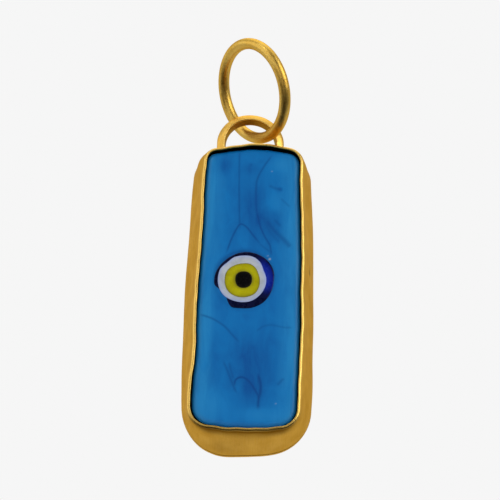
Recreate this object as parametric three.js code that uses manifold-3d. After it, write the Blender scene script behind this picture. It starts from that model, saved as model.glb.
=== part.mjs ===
// Evil eye ornament: a blue glass bar with a fused glass eye, set in a flared gold bezel cup.
// A soldered bail on top of the cup hangs on a jump ring.
// Millimetres, +Z up, the glass faces -Y. The origin is the chain seat, which is the highest
// point of the jump ring's inner edge.
import * as THREE from "three";
import { mergeVertices } from "three/addons/utils/BufferGeometryUtils.js";
import Module from "manifold-3d";

const wasm = await Module();
wasm.setup();

// Jump ring
const RING_OUTER_D = 11;
const RING_WIRE_D = 1.15;
const RING_TURN = 30.5; // degrees from +X towards +Y, of the ring's axis
const RING_RISE = 27.2; // degrees that the ring's axis rises above the horizontal
const RING_PHASE = 22.5; // degrees round from the ring's lowest point to where the bail holds it
const RING_SLACK = 0.68; // between the ring's wire and the bail's hole, at the bail's mid-plane
const RING_SIDE = 52; // degrees from the top of the bail's hole to where the wire crosses it

// Bail: an arch of half-round wire, flat side inwards
const BAIL_OUTER_R = 3.45;
const BAIL_WIRE_T = 0.92; // radial thickness
const BAIL_WIRE_W = 1.1; // front to back
const BAIL_SHIFT = -0.33; // sideways, from the cup's centre line
const BAIL_SETBACK = 1.87; // from the cup's back forward to the bail's mid-plane
const BAIL_LEG = 1.08; // straight leg below the arch's centre
const SOLDER_REACH = 0.42; // how far a solder bead spreads past the leg
const SOLDER_HEIGHT = 0.5;
const SOLDER_SINK = 0.05; // a bead's middle, below the leg's foot
const BAIL_FLANK = 0.25; // share of the wire's thickness that is straight-sided

// Opening inside the bezel's lip, seen from the front
const OPENING_H = 29.84;
const OPENING_TOP_W = 9.28;
const OPENING_BOTTOM_W = 9.9;
const OPENING_TOP_R = 1.15;
const OPENING_BOTTOM_R = 1.9;
const TOP_BOW = 0.32; // how far the middle of the top edge stands above its ends
const BOTTOM_BOW = 0.26;
const SIDE_BOW = 0.15; // how far the middle of each long side stands out from a straight line

// Bezel wall and back plate
const CUP_DEPTH = 4.9; // lip to back
const LIP_W = 0.33;
const WALL_T = 0.42;
const FLARE_SIDE = 1.06; // how far the wall leans out from lip to back
const FLARE_END = 0.94;
const TOP_R_GROWTH = 0.8; // extra corner radius at the back
const BOTTOM_R_GROWTH = 2.3;
const LEAST_CORNER_R = 0.3;
const PLATE_T = 0.5;
const PLATE_EDGE_R = 0.14;
const SEAM_SOLDER = 0.32; // leg of the solder fillet between wall and plate

// Glass bar and what it is bedded in
const GLASS_RECESS = 0.34; // from the lip's plane back to the glass face
const SHOULDER_DEPTH = 0.4; // height of the glass bar's rounded front edge
const SHOULDER_W = 0.7;
const BED_T = 0.45;

// Fused eye: dots of glass, each pressed into the one behind
const EYE_X = -0.51;
const EYE_Z = 0.5;
const EYE_STRETCH = 1.06; // the dots are a little taller than wide
const EYE_PROUD = 0.05; // the blue dot's face in front of the glass
const EYE_STEP = 0.03; // each later dot stands this much prouder
const BLUE_R = 2.92;
const BLUE_T = 1.0;
const WHITE_R = 2.42;
const WHITE_T = 0.8;
const WHITE_AT = [-0.2, 0.19];
const YELLOW_R = 1.75;
const YELLOW_T = 0.6;
const YELLOW_AT = [-0.17, 0.05];
const PUPIL_R = 0.86;
const PUPIL_T = 0.4;
const PUPIL_AT = [-0.05, 0.14];
const DOT_BEVEL_W = 0.06; // round the edge of each dot's face
const DOT_BEVEL_H = 0.05;

// Clearances
const SOLDER_GAP = 0.02; // between soldered or burnished pieces
const GLASS_GAP = 0.1; // glass to wall
const DOT_GAP = 0.02; // glass dot to the glass around it

// How far the wall has leant out (share of the flare) at each depth (share of the wall's height)
const WALL_PROFILE = [
  [0, 0],
  [0.1, 0.04],
  [0.25, 0.17],
  [0.45, 0.39],
  [0.65, 0.62],
  [0.85, 0.86],
  [1, 1],
];

const CORNER_STEPS = 8;
const SIDE_STEPS = 5;
const END_STEPS = 8;
const LATHE_STEPS = 40;
const DOT_STEPS = 5;
const BAIL_STEPS = 22;
const SECTION_STEPS = 8;

const ringWireR = RING_WIRE_D / 2;
const ringR = RING_OUTER_D / 2 - ringWireR;
const bailHoleR = BAIL_OUTER_R - BAIL_WIRE_T;
const wallBack = CUP_DEPTH - PLATE_T - SOLDER_GAP;
const bailY = CUP_DEPTH - BAIL_SETBACK;
const footX = bailHoleR - Math.abs(BAIL_SHIFT);
const footZ = topEdgeZ(bailY + BAIL_WIRE_W / 2, footX) + SOLDER_GAP;
const archZ = footZ + BAIL_LEG;

const gold = { metalness: 1, roughness: 0.42 };
const GOLD = new THREE.MeshStandardMaterial({ color: 0xc9993a, ...gold });
const RING_GOLD = new THREE.MeshStandardMaterial({ color: 0xd2a83c, ...gold });
const SOLDER = new THREE.MeshStandardMaterial({ color: 0xbf9340, ...gold });

function glassMaterial(color) {
  return new THREE.MeshStandardMaterial({ color, metalness: 0, roughness: 0.35 });
}

// ---- Shapes ----

function flareShare(depth) {
  const share = Math.min(Math.max(depth / wallBack, 0), 1);
  const next = Math.max(1, WALL_PROFILE.findIndex(([at]) => at >= share));
  const [d0, f0] = WALL_PROFILE[next - 1];
  const [d1, f1] = WALL_PROFILE[next];
  return f0 + ((f1 - f0) * (share - d0)) / (d1 - d0);
}

// The top end of the cup at one depth: its half width, corner radius and bow.
function topEnd(depth, inset) {
  const flare = flareShare(depth);
  return {
    half: OPENING_TOP_W / 2 + LIP_W + FLARE_SIDE * flare - inset,
    z: OPENING_H / 2 + LIP_W + FLARE_END * flare - inset - TOP_BOW,
    r: Math.max(OPENING_TOP_R + LIP_W + TOP_R_GROWTH * flare - inset, LEAST_CORNER_R),
    bow: TOP_BOW,
    sign: 1,
  };
}

function bottomEnd(depth, inset) {
  const flare = flareShare(depth);
  return {
    half: OPENING_BOTTOM_W / 2 + LIP_W + FLARE_SIDE * flare - inset,
    z: -OPENING_H / 2 - LIP_W - FLARE_END * flare + inset + BOTTOM_BOW,
    r: Math.max(OPENING_BOTTOM_R + LIP_W + BOTTOM_R_GROWTH * flare - inset, LEAST_CORNER_R),
    bow: BOTTOM_BOW,
    sign: -1,
  };
}

// Where an end's round corners give way to its bow: their slopes meet there, so that the edge
// runs on smoothly. The crown is how far the bow's middle stands above that point.
function bowStart({ half, r, bow }) {
  const slope = Math.atan((2 * bow) / (half - r));
  return {
    sweep: Math.PI / 2 - slope,
    x: half - r + r * Math.sin(slope),
    crown: bow + r * (1 - Math.cos(slope)),
  };
}

// Height of the cup's top edge at one depth, x away from the centre line.
function topEdgeZ(depth, x) {
  const end = topEnd(depth, 0);
  const start = bowStart(end);
  return end.z + end.bow - start.crown * (x / start.x) ** 2;
}

// Adds one bowed end of the outline with its two round corners.
function endEdge(points, end) {
  const { half, z, r, sign } = end;
  const { sweep, crown } = bowStart(end);
  const x = sign * (half - r);
  const cornerZ = z - sign * r;
  const start = sign > 0 ? 0 : Math.PI;
  for (let i = 0; i <= CORNER_STEPS; i++) {
    const angle = start + (sweep * i) / CORNER_STEPS;
    points.push([x + r * Math.cos(angle), cornerZ + r * Math.sin(angle)]);
  }
  const [fromX, fromZ] = points[points.length - 1];
  for (let i = 1; i < END_STEPS; i++) {
    const t = i / END_STEPS;
    points.push([fromX * (1 - 2 * t), fromZ + sign * crown * 4 * t * (1 - t)]);
  }
  for (let i = 0; i <= CORNER_STEPS; i++) {
    const angle = start + Math.PI - sweep + (sweep * i) / CORNER_STEPS;
    points.push([-x + r * Math.cos(angle), cornerZ + r * Math.sin(angle)]);
  }
}

// Adds a long side, which bows out a little; the sign is 1 on the right and -1 on the left.
function longSide(points, from, to, sign) {
  for (let i = 1; i < SIDE_STEPS; i++) {
    const t = i / SIDE_STEPS;
    const x = from[0] + (to[0] - from[0]) * t + sign * SIDE_BOW * 4 * t * (1 - t);
    points.push([x, from[1] + (to[1] - from[1]) * t]);
  }
}

// The cup's outline at one depth, pulled in by inset: a tapered rectangle with round corners
// and bowed ends, as points in the X-Z plane, anticlockwise seen from the front.
function outline(depth, inset) {
  const points = [];
  const under = [];
  endEdge(points, topEnd(depth, inset));
  endEdge(under, bottomEnd(depth, inset));
  const first = points[0];
  longSide(points, points[points.length - 1], under[0], -1);
  points.push(...under);
  longSide(points, under[under.length - 1], first, 1);
  return points;
}

// One closed skin over a row of outlines, which all have the same number of points. Each
// outline is placed at its depth (Y). A loop joins the last outline to the first; otherwise
// both ends are closed with a flat cap.
function skin(levels, loop) {
  const count = levels[0].points.length;
  const position = levels.flatMap(({ y, points }) => points.flatMap(([x, z]) => [x, y, z]));
  const index = [];
  const spans = loop ? levels.length : levels.length - 1;
  for (let k = 0; k < spans; k++) {
    const a = k * count;
    const b = ((k + 1) % levels.length) * count;
    for (let i = 0; i < count; i++) {
      const j = (i + 1) % count;
      index.push(a + i, b + j, a + j, a + i, b + i, b + j);
    }
  }
  if (!loop) {
    const flat = levels[0].points.map(([x, z]) => new THREE.Vector2(x, z));
    const lastCap = (levels.length - 1) * count;
    for (const [p, q, r] of THREE.ShapeUtils.triangulateShape(flat, [])) {
      index.push(p, q, r);
      index.push(lastCap + p, lastCap + r, lastCap + q);
    }
  }
  const geometry = new THREE.BufferGeometry();
  geometry.setAttribute("position", new THREE.Float32BufferAttribute(position, 3));
  geometry.setIndex(index);
  return geometry;
}

function level(y, inset, at = y) {
  return { y, points: outline(at, inset) };
}

function profileDepths() {
  return WALL_PROFILE.map(([share]) => share * wallBack);
}

function bezelWall() {
  const depths = profileDepths();
  const outer = depths.map((y) => level(y, 0));
  const inner = depths.map((y) => level(y, y > 0 ? WALL_T : LIP_W)).reverse();
  return skin([...outer, ...inner], true);
}

// The cup's outer shape as one solid, grown by a clearance, for cutting what sits on it.
function cupShape(growth) {
  const depths = [...profileDepths(), CUP_DEPTH + growth];
  return skin(depths.map((y) => level(y, -growth)), false);
}

function backPlate() {
  const front = CUP_DEPTH - PLATE_T;
  const midway = PLATE_EDGE_R * (1 - Math.SQRT1_2);
  return skin(
    [
      level(front, 0),
      level(CUP_DEPTH - PLATE_EDGE_R, 0),
      level(CUP_DEPTH - midway, midway),
      level(CUP_DEPTH, PLATE_EDGE_R),
    ],
    false,
  );
}

function seamSolder() {
  const back = wallBack;
  const front = back - SEAM_SOLDER;
  const clear = WALL_T + SOLDER_GAP;
  return skin(
    [level(front, clear), level(back, clear), level(back, clear + SEAM_SOLDER)],
    true,
  );
}

function settingBed() {
  const back = wallBack;
  const front = back - BED_T;
  const inset = WALL_T + SEAM_SOLDER + 2 * SOLDER_GAP;
  return skin([level(front, inset, back), level(back, inset)], false);
}

function glassBar() {
  const back = wallBack - BED_T - DOT_GAP;
  const shoulder = GLASS_RECESS + SHOULDER_DEPTH;
  const clear = WALL_T + GLASS_GAP;
  const rounding = [0, 0.3, 0.6, 0.85, 1];
  const front = rounding.map((t) => {
    const y = shoulder - SHOULDER_DEPTH * t;
    const inset = SHOULDER_W * (1 - Math.sqrt(1 - t * t));
    return level(y, clear + inset, shoulder);
  });
  const body = [level(back, clear), level((back + shoulder) / 2, clear)];
  return skin([...front.reverse(), ...body.reverse()], false);
}

// A shallow dot of glass about the Y axis: flat face to the front, rounded underneath.
function dot(radius, thickness, growth = 0) {
  const r = radius + growth;
  const t = thickness + growth;
  const points = [new THREE.Vector2(0, growth)];
  points.push(new THREE.Vector2(r - DOT_BEVEL_W, growth));
  for (let i = 0; i <= DOT_STEPS; i++) {
    const angle = (Math.PI / 2) * (i / DOT_STEPS);
    const y = -DOT_BEVEL_H - (t - DOT_BEVEL_H) * Math.sin(angle);
    points.push(new THREE.Vector2(r * Math.cos(angle), y));
  }
  points[points.length - 1].x = 0;
  const geometry = new THREE.LatheGeometry(points.reverse(), LATHE_STEPS);
  geometry.rotateX(Math.PI);
  geometry.scale(1, 1, EYE_STRETCH);
  return geometry;
}

// Half-round wire section, flat side towards the arch's centre, as [radial, sideways] pairs.
function bailSection(growth) {
  const half = BAIL_WIRE_W / 2 + growth;
  const thick = BAIL_WIRE_T + 2 * growth;
  const points = [[-growth, -half]];
  for (let i = 0; i <= SECTION_STEPS; i++) {
    const angle = -Math.PI / 2 + (Math.PI * i) / SECTION_STEPS;
    const share = BAIL_FLANK + (1 - BAIL_FLANK) * Math.cos(angle);
    points.push([thick * share - growth, half * Math.sin(angle)]);
  }
  points.push([-growth, half]);
  return points;
}

function bailLoop(growth) {
  const section = bailSection(growth);
  const stations = [{ angle: Math.PI, drop: BAIL_LEG + growth }];
  for (let i = 0; i <= BAIL_STEPS; i++) {
    stations.push({ angle: Math.PI * (1 - i / BAIL_STEPS), drop: 0 });
  }
  stations.push({ angle: 0, drop: BAIL_LEG + growth });
  const position = [];
  for (const { angle, drop } of stations) {
    for (const [radial, side] of section) {
      const r = bailHoleR + radial;
      position.push(r * Math.cos(angle), side, r * Math.sin(angle) - drop);
    }
  }
  const count = section.length;
  const index = [];
  for (let k = 0; k < stations.length - 1; k++) {
    for (let i = 0; i < count; i++) {
      const a = k * count + i;
      const b = k * count + ((i + 1) % count);
      index.push(a, b + count, b, a, a + count, b + count);
    }
  }
  const flat = section.map(([radial, side]) => new THREE.Vector2(radial, side));
  const last = (stations.length - 1) * count;
  for (const [p, q, r] of THREE.ShapeUtils.triangulateShape(flat, [])) {
    index.push(p, q, r);
    index.push(last + p, last + r, last + q);
  }
  const geometry = new THREE.BufferGeometry();
  geometry.setAttribute("position", new THREE.Float32BufferAttribute(position, 3));
  geometry.setIndex(index);
  geometry.translate(BAIL_SHIFT, bailY, archZ);
  return geometry;
}

// A bead of solder round one foot of the bail, before the wire and the wall are cut from it.
function solderBead(sign) {
  const bead = new THREE.SphereGeometry(1, 24, 14);
  const reachX = BAIL_WIRE_T / 2 + SOLDER_REACH;
  const reachY = BAIL_WIRE_W / 2 + SOLDER_REACH;
  bead.scale(reachX, reachY, SOLDER_HEIGHT);
  const legX = BAIL_SHIFT + sign * (bailHoleR + BAIL_WIRE_T / 2);
  bead.translate(legX, bailY, footZ - SOLDER_SINK);
  return bead;
}

// ---- Solids ----

function solidOf(geometry) {
  const bare = geometry.index ? geometry.clone() : geometry;
  bare.deleteAttribute("normal");
  bare.deleteAttribute("uv");
  const merged = mergeVertices(bare, 1e-4);
  return new wasm.Manifold(
    new wasm.Mesh({
      numProp: 3,
      vertProperties: merged.attributes.position.array,
      triVerts: new Uint32Array(merged.index.array),
    }),
  );
}

function geometryOf(solid) {
  const made = solid.getMesh();
  const geometry = new THREE.BufferGeometry();
  geometry.setAttribute("position", new THREE.BufferAttribute(made.vertProperties, 3));
  geometry.setIndex(new THREE.BufferAttribute(made.triVerts, 1));
  return geometry;
}

function cut(geometry, ...tools) {
  return geometryOf(tools.reduce((left, tool) => left.subtract(solidOf(tool)), solidOf(geometry)));
}

function piece(name, geometry, material) {
  const mesh = new THREE.Mesh(geometry, material);
  mesh.name = name;
  return mesh;
}

// ---- The jump ring, and where it holds the bail ----

const turn = THREE.MathUtils.degToRad(RING_TURN);
const rise = THREE.MathUtils.degToRad(RING_RISE);
const phase = THREE.MathUtils.degToRad(RING_PHASE);
const crossAngle = THREE.MathUtils.degToRad(RING_SIDE);
const ringAxis = new THREE.Vector3(
  Math.cos(rise) * Math.cos(turn),
  Math.cos(rise) * Math.sin(turn),
  Math.sin(rise),
);
const ringLevel = new THREE.Vector3(-Math.sin(turn), Math.cos(turn), 0);
const ringUp = new THREE.Vector3().crossVectors(ringAxis, ringLevel);
const crossing = new THREE.Vector3(
  BAIL_SHIFT + (bailHoleR - ringWireR - RING_SLACK) * Math.sin(crossAngle),
  bailY,
  archZ + (bailHoleR - ringWireR - RING_SLACK) * Math.cos(crossAngle),
);
const ringCentre = crossing
  .clone()
  .addScaledVector(ringUp, ringR * Math.cos(phase))
  .addScaledVector(ringLevel, -ringR * Math.sin(phase));
const chainSeat = ringCentre.clone().addScaledVector(ringUp, ringR - ringWireR);

const ring = piece("jump_ring", new THREE.TorusGeometry(ringR, ringWireR, 16, 56), RING_GOLD);
ring.quaternion.setFromUnitVectors(new THREE.Vector3(0, 0, 1), ringAxis);
ring.position.copy(ringCentre);

// ---- The pendant ----

const cup = new THREE.Group();
cup.add(piece("bezel_wall", bezelWall(), GOLD));
cup.add(piece("back_plate", backPlate(), GOLD));
cup.add(piece("back_seam_solder", seamSolder(), SOLDER));
cup.add(piece("bail_loop", bailLoop(0), GOLD));
const feet = [
  ["bail_solder_left", -1],
  ["bail_solder_right", 1],
];
for (const [name, sign] of feet) {
  const bead = cut(solderBead(sign), bailLoop(SOLDER_GAP), cupShape(SOLDER_GAP));
  cup.add(piece(name, bead, SOLDER));
}

const stone = new THREE.Group();
stone.add(piece("setting_bed", settingBed(), glassMaterial(0x8c8a84)));
const dots = [
  { name: "eye_blue_dot", r: BLUE_R, t: BLUE_T, at: [0, 0], color: 0x10106e },
  { name: "eye_white_dot", r: WHITE_R, t: WHITE_T, at: WHITE_AT, color: 0xd9d9f2 },
  { name: "eye_yellow_dot", r: YELLOW_R, t: YELLOW_T, at: YELLOW_AT, color: 0xb4b414 },
  { name: "eye_pupil_dot", r: PUPIL_R, t: PUPIL_T, at: PUPIL_AT, color: 0x0a0a0a },
];
function placedDot({ r, t, at }, order, growth) {
  const geometry = dot(r, t, growth);
  const face = GLASS_RECESS - EYE_PROUD - EYE_STEP * order;
  return geometry.translate(EYE_X + at[0], face, EYE_Z + at[1]);
}
const pockets = dots.map((each, order) => placedDot(each, order, DOT_GAP));
stone.add(piece("glass_bar", cut(glassBar(), pockets[0]), glassMaterial(0x1f78bd)));
dots.forEach((each, order) => {
  const body = placedDot(each, order, 0);
  const next = pockets[order + 1];
  stone.add(piece(each.name, next ? cut(body, next) : body, glassMaterial(each.color)));
});

const pendant = new THREE.Group();
pendant.add(cup, stone);

const ornament = new THREE.Group();
ornament.add(ring, pendant);
ornament.position.copy(chainSeat).negate();

const root = new THREE.Group();
root.add(ornament);

export default root;
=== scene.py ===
"""Looks of the evil eye ornament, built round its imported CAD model.

Lengths in the constants are millimetres, except for the stage.
"""

import math

import bmesh
import bpy
import numpy as np
from mathutils import Matrix, Vector


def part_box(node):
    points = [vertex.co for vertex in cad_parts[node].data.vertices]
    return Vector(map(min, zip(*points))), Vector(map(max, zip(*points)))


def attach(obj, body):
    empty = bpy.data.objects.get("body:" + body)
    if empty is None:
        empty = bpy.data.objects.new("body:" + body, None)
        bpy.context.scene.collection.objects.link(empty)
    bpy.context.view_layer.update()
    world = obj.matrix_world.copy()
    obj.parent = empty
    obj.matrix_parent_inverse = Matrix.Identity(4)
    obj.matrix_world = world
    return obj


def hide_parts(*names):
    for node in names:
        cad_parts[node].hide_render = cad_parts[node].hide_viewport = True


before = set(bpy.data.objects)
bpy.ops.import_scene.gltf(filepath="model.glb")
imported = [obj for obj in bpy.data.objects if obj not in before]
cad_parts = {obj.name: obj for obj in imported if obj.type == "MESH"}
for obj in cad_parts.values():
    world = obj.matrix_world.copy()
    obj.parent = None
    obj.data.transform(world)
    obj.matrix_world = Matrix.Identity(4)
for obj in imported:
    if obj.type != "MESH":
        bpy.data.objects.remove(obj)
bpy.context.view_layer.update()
MM = 0.001

# ---- Sizes ----

# Camera
CAMERA_DISTANCE = 187.0
CAMERA_ELEVATION = -25.0
CAMERA_ROLL = 1.817
CAMERA_LENS = 136.3
CAMERA_SENSOR = 36
AIM = (-0.023, 0.0, 3.62)  # from the middle of the cup's opening

# Bezel cup, as in the CAD
OPENING_H = 29.84
OPENING_TOP_W = 9.28
OPENING_BOTTOM_W = 9.9
OPENING_TOP_R = 1.15
OPENING_BOTTOM_R = 1.9
TOP_BOW = 0.32
BOTTOM_BOW = 0.26
SIDE_BOW = 0.15
CUP_DEPTH = 4.9
LIP_W = 0.33
WALL_T = 0.42
FLARE_SIDE = 1.06
FLARE_END = 0.94
TOP_R_GROWTH = 0.8
BOTTOM_R_GROWTH = 2.3
PLATE_T = 0.5
PLATE_ROUND = 0.22
WALL_BACK = CUP_DEPTH - PLATE_T - 0.02
WALL_PROFILE = ((0, 0.1, 0.25, 0.45, 0.65, 0.85, 1), (0, 0.04, 0.17, 0.39, 0.62, 0.86, 1))
# The burnished lip in section: out from the opening's edge, back from its highest line
LIP_PROFILE = (
    (0.0, 0.14),
    (0.006, 0.08),
    (0.02, 0.036),
    (0.045, 0.01),
    (0.08, 0.0),
    (0.12, 0.004),
    (0.17, 0.02),
    (0.22, 0.05),
    (0.27, 0.095),
    (0.31, 0.15),
    (0.335, 0.21),
    (0.348, 0.28),
)
LIP_SHINE = ((0.0, 0.05, 0.26, 0.345), (0.2, 0.8, 0.7, 0.35))  # out from the edge, and how polished, which also paints a paler highlight
LIP_GRIME_AND_SHADE_W = 0.003  # how far the painted shade and soiling in the gap come up over the opening's edge
# The rest of the wall's skin: inside (depth, inset), outside (depth), and round the foot (depth, inset)
INNER_FACE_TOP = 0.6
INSIDE_ROWS = ((0.42, 0.4), (0.3, 0.37), (0.2, 0.345))
OUTSIDE_DEPTHS = (0.36, 0.42, 0.5, 0.62, 0.78, 0.95, 1.15, 1.4, 1.7, 2.0, 2.4, 2.8, 3.2, 3.6, 3.95)
FOOT_ROWS = ((4.2, 0.0), (4.3, 0.015), (4.36, 0.05), (WALL_BACK, 0.1))

# Glass
GLASS_RECESS = 0.34
GLASS_INSET = 0.45
GLASS_SHOULDER = 0.4
GLASS_SHOULDER_W = 0.7
GLASS_BACK = WALL_BACK - 0.47
EYE_STRETCH = 1.06

# Wire
RING_WIRE_R = 0.575
RING_R = 4.925
RING_JOINT_ANGLE = 118  # degrees round the ring, where its wire ends meet
RING_JOINT_WIDTH = 0.012  # radians
RING_JOINT_DEPTH = 0.05  # share of the wire
BAIL_THICK = 0.92
BAIL_WIDE = 1.1
BAIL_LEAN = 0.06  # how far the flat side leans to the front, for each half width
BAIL_RIM = 0.1  # radius of the section's two softened edges
BAIL_FLAT_STEPS = 9
BAIL_DOME_STEPS = 20
BAIL_ARCH_STEPS = 90
BAIL_LEG_TOP = 0.12  # below the arch's centre
BAIL_FLAT_SHADE = 0.6  # painted shade on the flat inner side


# ---- Mesh helpers ----

CURVE_STEPS = 8
FAR = 1e9  # farther than any distance that is looked for


def new_object(name, verts, faces, material, body="pendant", replaces=None, attributes=None):
    """A smooth-shaded mesh from points in millimetres, riding on a CAD body."""
    mesh = bpy.data.meshes.new(name)
    mesh.from_pydata([tuple(v) for v in np.asarray(verts) * MM], [], faces)
    for key, values in (attributes or {}).items():
        layer = mesh.attributes.new(key, "FLOAT", "POINT")
        layer.data.foreach_set("value", np.asarray(values, np.float32))
    obj = bpy.data.objects.new(name, mesh)
    bpy.context.scene.collection.objects.link(obj)
    bm = bmesh.new()
    bm.from_mesh(mesh)
    bmesh.ops.recalc_face_normals(bm, faces=bm.faces)
    bm.to_mesh(mesh)
    bm.free()
    for polygon in mesh.polygons:
        polygon.use_smooth = True
    mesh.materials.append(material)
    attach(obj, body)
    if replaces:
        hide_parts(replaces)
    return obj


def tube_faces(rows, count, close_rows=False):
    """Quads over rows of points, each row a closed loop."""
    faces = []
    for k in range(rows if close_rows else rows - 1):
        a, b = k * count, ((k + 1) % rows) * count
        for i in range(count):
            j = (i + 1) % count
            faces.append((a + i, a + j, b + j, b + i))
    return faces


def capped_faces(rows, count):
    """Faces of a closed tube: its sides and both flat ends."""
    last = (rows - 1) * count
    return [*tube_faces(rows, count), tuple(range(count)), tuple(range(last + count - 1, last - 1, -1))]


def smooth_step(x, lo, hi):
    t = np.clip((np.asarray(x, float) - lo) / (hi - lo), 0, 1)
    return t * t * (3 - 2 * t)


def bump_at(points, centre, reach):
    """A round bump of height 1 about a centre, fading over the reach."""
    gap = np.linalg.norm(np.asarray(points, float) - np.asarray(centre, float), axis=-1)
    return np.exp(-((gap / reach) ** 2))


def between(a, b, c, d, t):
    """A point between b and c on the smooth curve through a, b, c and d."""
    return 0.5 * (2 * b + (c - a) * t + (2 * a - 5 * b + 4 * c - d) * t**2 + (3 * b - a - 3 * c + d) * t**3)


def curve_points(controls):
    """A smooth curve through a few control points."""
    p = np.asarray(controls, float)
    p = np.vstack([2 * p[0] - p[1], p, 2 * p[-1] - p[-2]])
    out = []
    for k in range(1, len(p) - 2):
        for t in np.linspace(0, 1, CURVE_STEPS, endpoint=False):
            out.append(between(*p[k - 1 : k + 3], t))
    out.append(p[-2])
    return np.array(out)


def near_curve(points, controls):
    """For each point, its distance from a curve and its place along it from 0 to 1."""
    line = curve_points(controls)
    best = np.full(len(points), FAR)
    place = np.zeros(len(points))
    for k in range(len(line) - 1):
        a, b = line[k], line[k + 1]
        ab = b - a
        t = np.clip((points - a) @ ab / max(ab @ ab, 1e-12), 0, 1)
        gap = np.linalg.norm(points - a - t[:, None] * ab, axis=1)
        closer = gap < best
        best[closer] = gap[closer]
        place[closer] = ((k + t) / (len(line) - 1))[closer]
    return best, place


# ---- Cup outline ----

CORNER_STEPS = 18
SIDE_STEPS = 96
END_STEPS = 40


def flare(depth):
    return float(np.interp(np.clip(depth / WALL_BACK, 0, 1), *WALL_PROFILE))


def end_points(half, z, r, bow, sign):
    slope = math.atan(2 * bow / (half - r))
    sweep = math.pi / 2 - slope
    crown = bow + r * (1 - math.cos(slope))
    start = 0 if sign > 0 else math.pi
    cx, cz = sign * (half - r), z - sign * r
    angles = start + sweep * np.arange(CORNER_STEPS + 1) / CORNER_STEPS
    first = np.column_stack([cx + r * np.cos(angles), cz + r * np.sin(angles)])
    t = np.arange(1, END_STEPS) / END_STEPS
    bowed = np.column_stack([first[-1, 0] * (1 - 2 * t), first[-1, 1] + sign * crown * 4 * t * (1 - t)])
    angles = start + math.pi - sweep + sweep * np.arange(CORNER_STEPS + 1) / CORNER_STEPS
    last = np.column_stack([-cx + r * np.cos(angles), cz + r * np.sin(angles)])
    return np.vstack([first, bowed, last])


def side_points(a, b, sign):
    t = np.arange(1, SIDE_STEPS) / SIDE_STEPS
    return np.column_stack(
        [a[0] + (b[0] - a[0]) * t + sign * SIDE_BOW * 4 * t * (1 - t), a[1] + (b[1] - a[1]) * t]
    )


def outline(depth, inset):
    """The cup's outline at one depth, pulled in by inset, as (x, z) from the cup's middle."""
    f = flare(depth)
    top = end_points(
        OPENING_TOP_W / 2 + LIP_W + FLARE_SIDE * f - inset,
        OPENING_H / 2 + LIP_W + FLARE_END * f - inset - TOP_BOW,
        max(OPENING_TOP_R + LIP_W + TOP_R_GROWTH * f - inset, 0.3),
        TOP_BOW,
        1,
    )
    bottom = end_points(
        OPENING_BOTTOM_W / 2 + LIP_W + FLARE_SIDE * f - inset,
        -OPENING_H / 2 - LIP_W - FLARE_END * f + inset + BOTTOM_BOW,
        max(OPENING_BOTTOM_R + LIP_W + BOTTOM_R_GROWTH * f - inset, 0.3),
        BOTTOM_BOW,
        -1,
    )
    return np.vstack([top, side_points(top[-1], bottom[0], -1), bottom, side_points(bottom[-1], top[0], 1)])


def outward(points):
    along = np.roll(points, -1, axis=0) - np.roll(points, 1, axis=0)
    along /= np.linalg.norm(along, axis=1)[:, None]
    return np.column_stack([along[:, 1], -along[:, 0]])


wall_lo, wall_hi = (np.array(c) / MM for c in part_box("bezel_wall"))
CUP = np.array([(wall_lo[0] + wall_hi[0]) / 2, wall_lo[1], (wall_lo[2] + wall_hi[2]) / 2])


def at_cup(x, y, z):
    """Points given from the middle of the cup's opening, in the object's own frame."""
    return np.column_stack([np.asarray(x) + CUP[0], np.asarray(y) + CUP[1], np.asarray(z) + CUP[2]])


# ---- Materials ----


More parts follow.
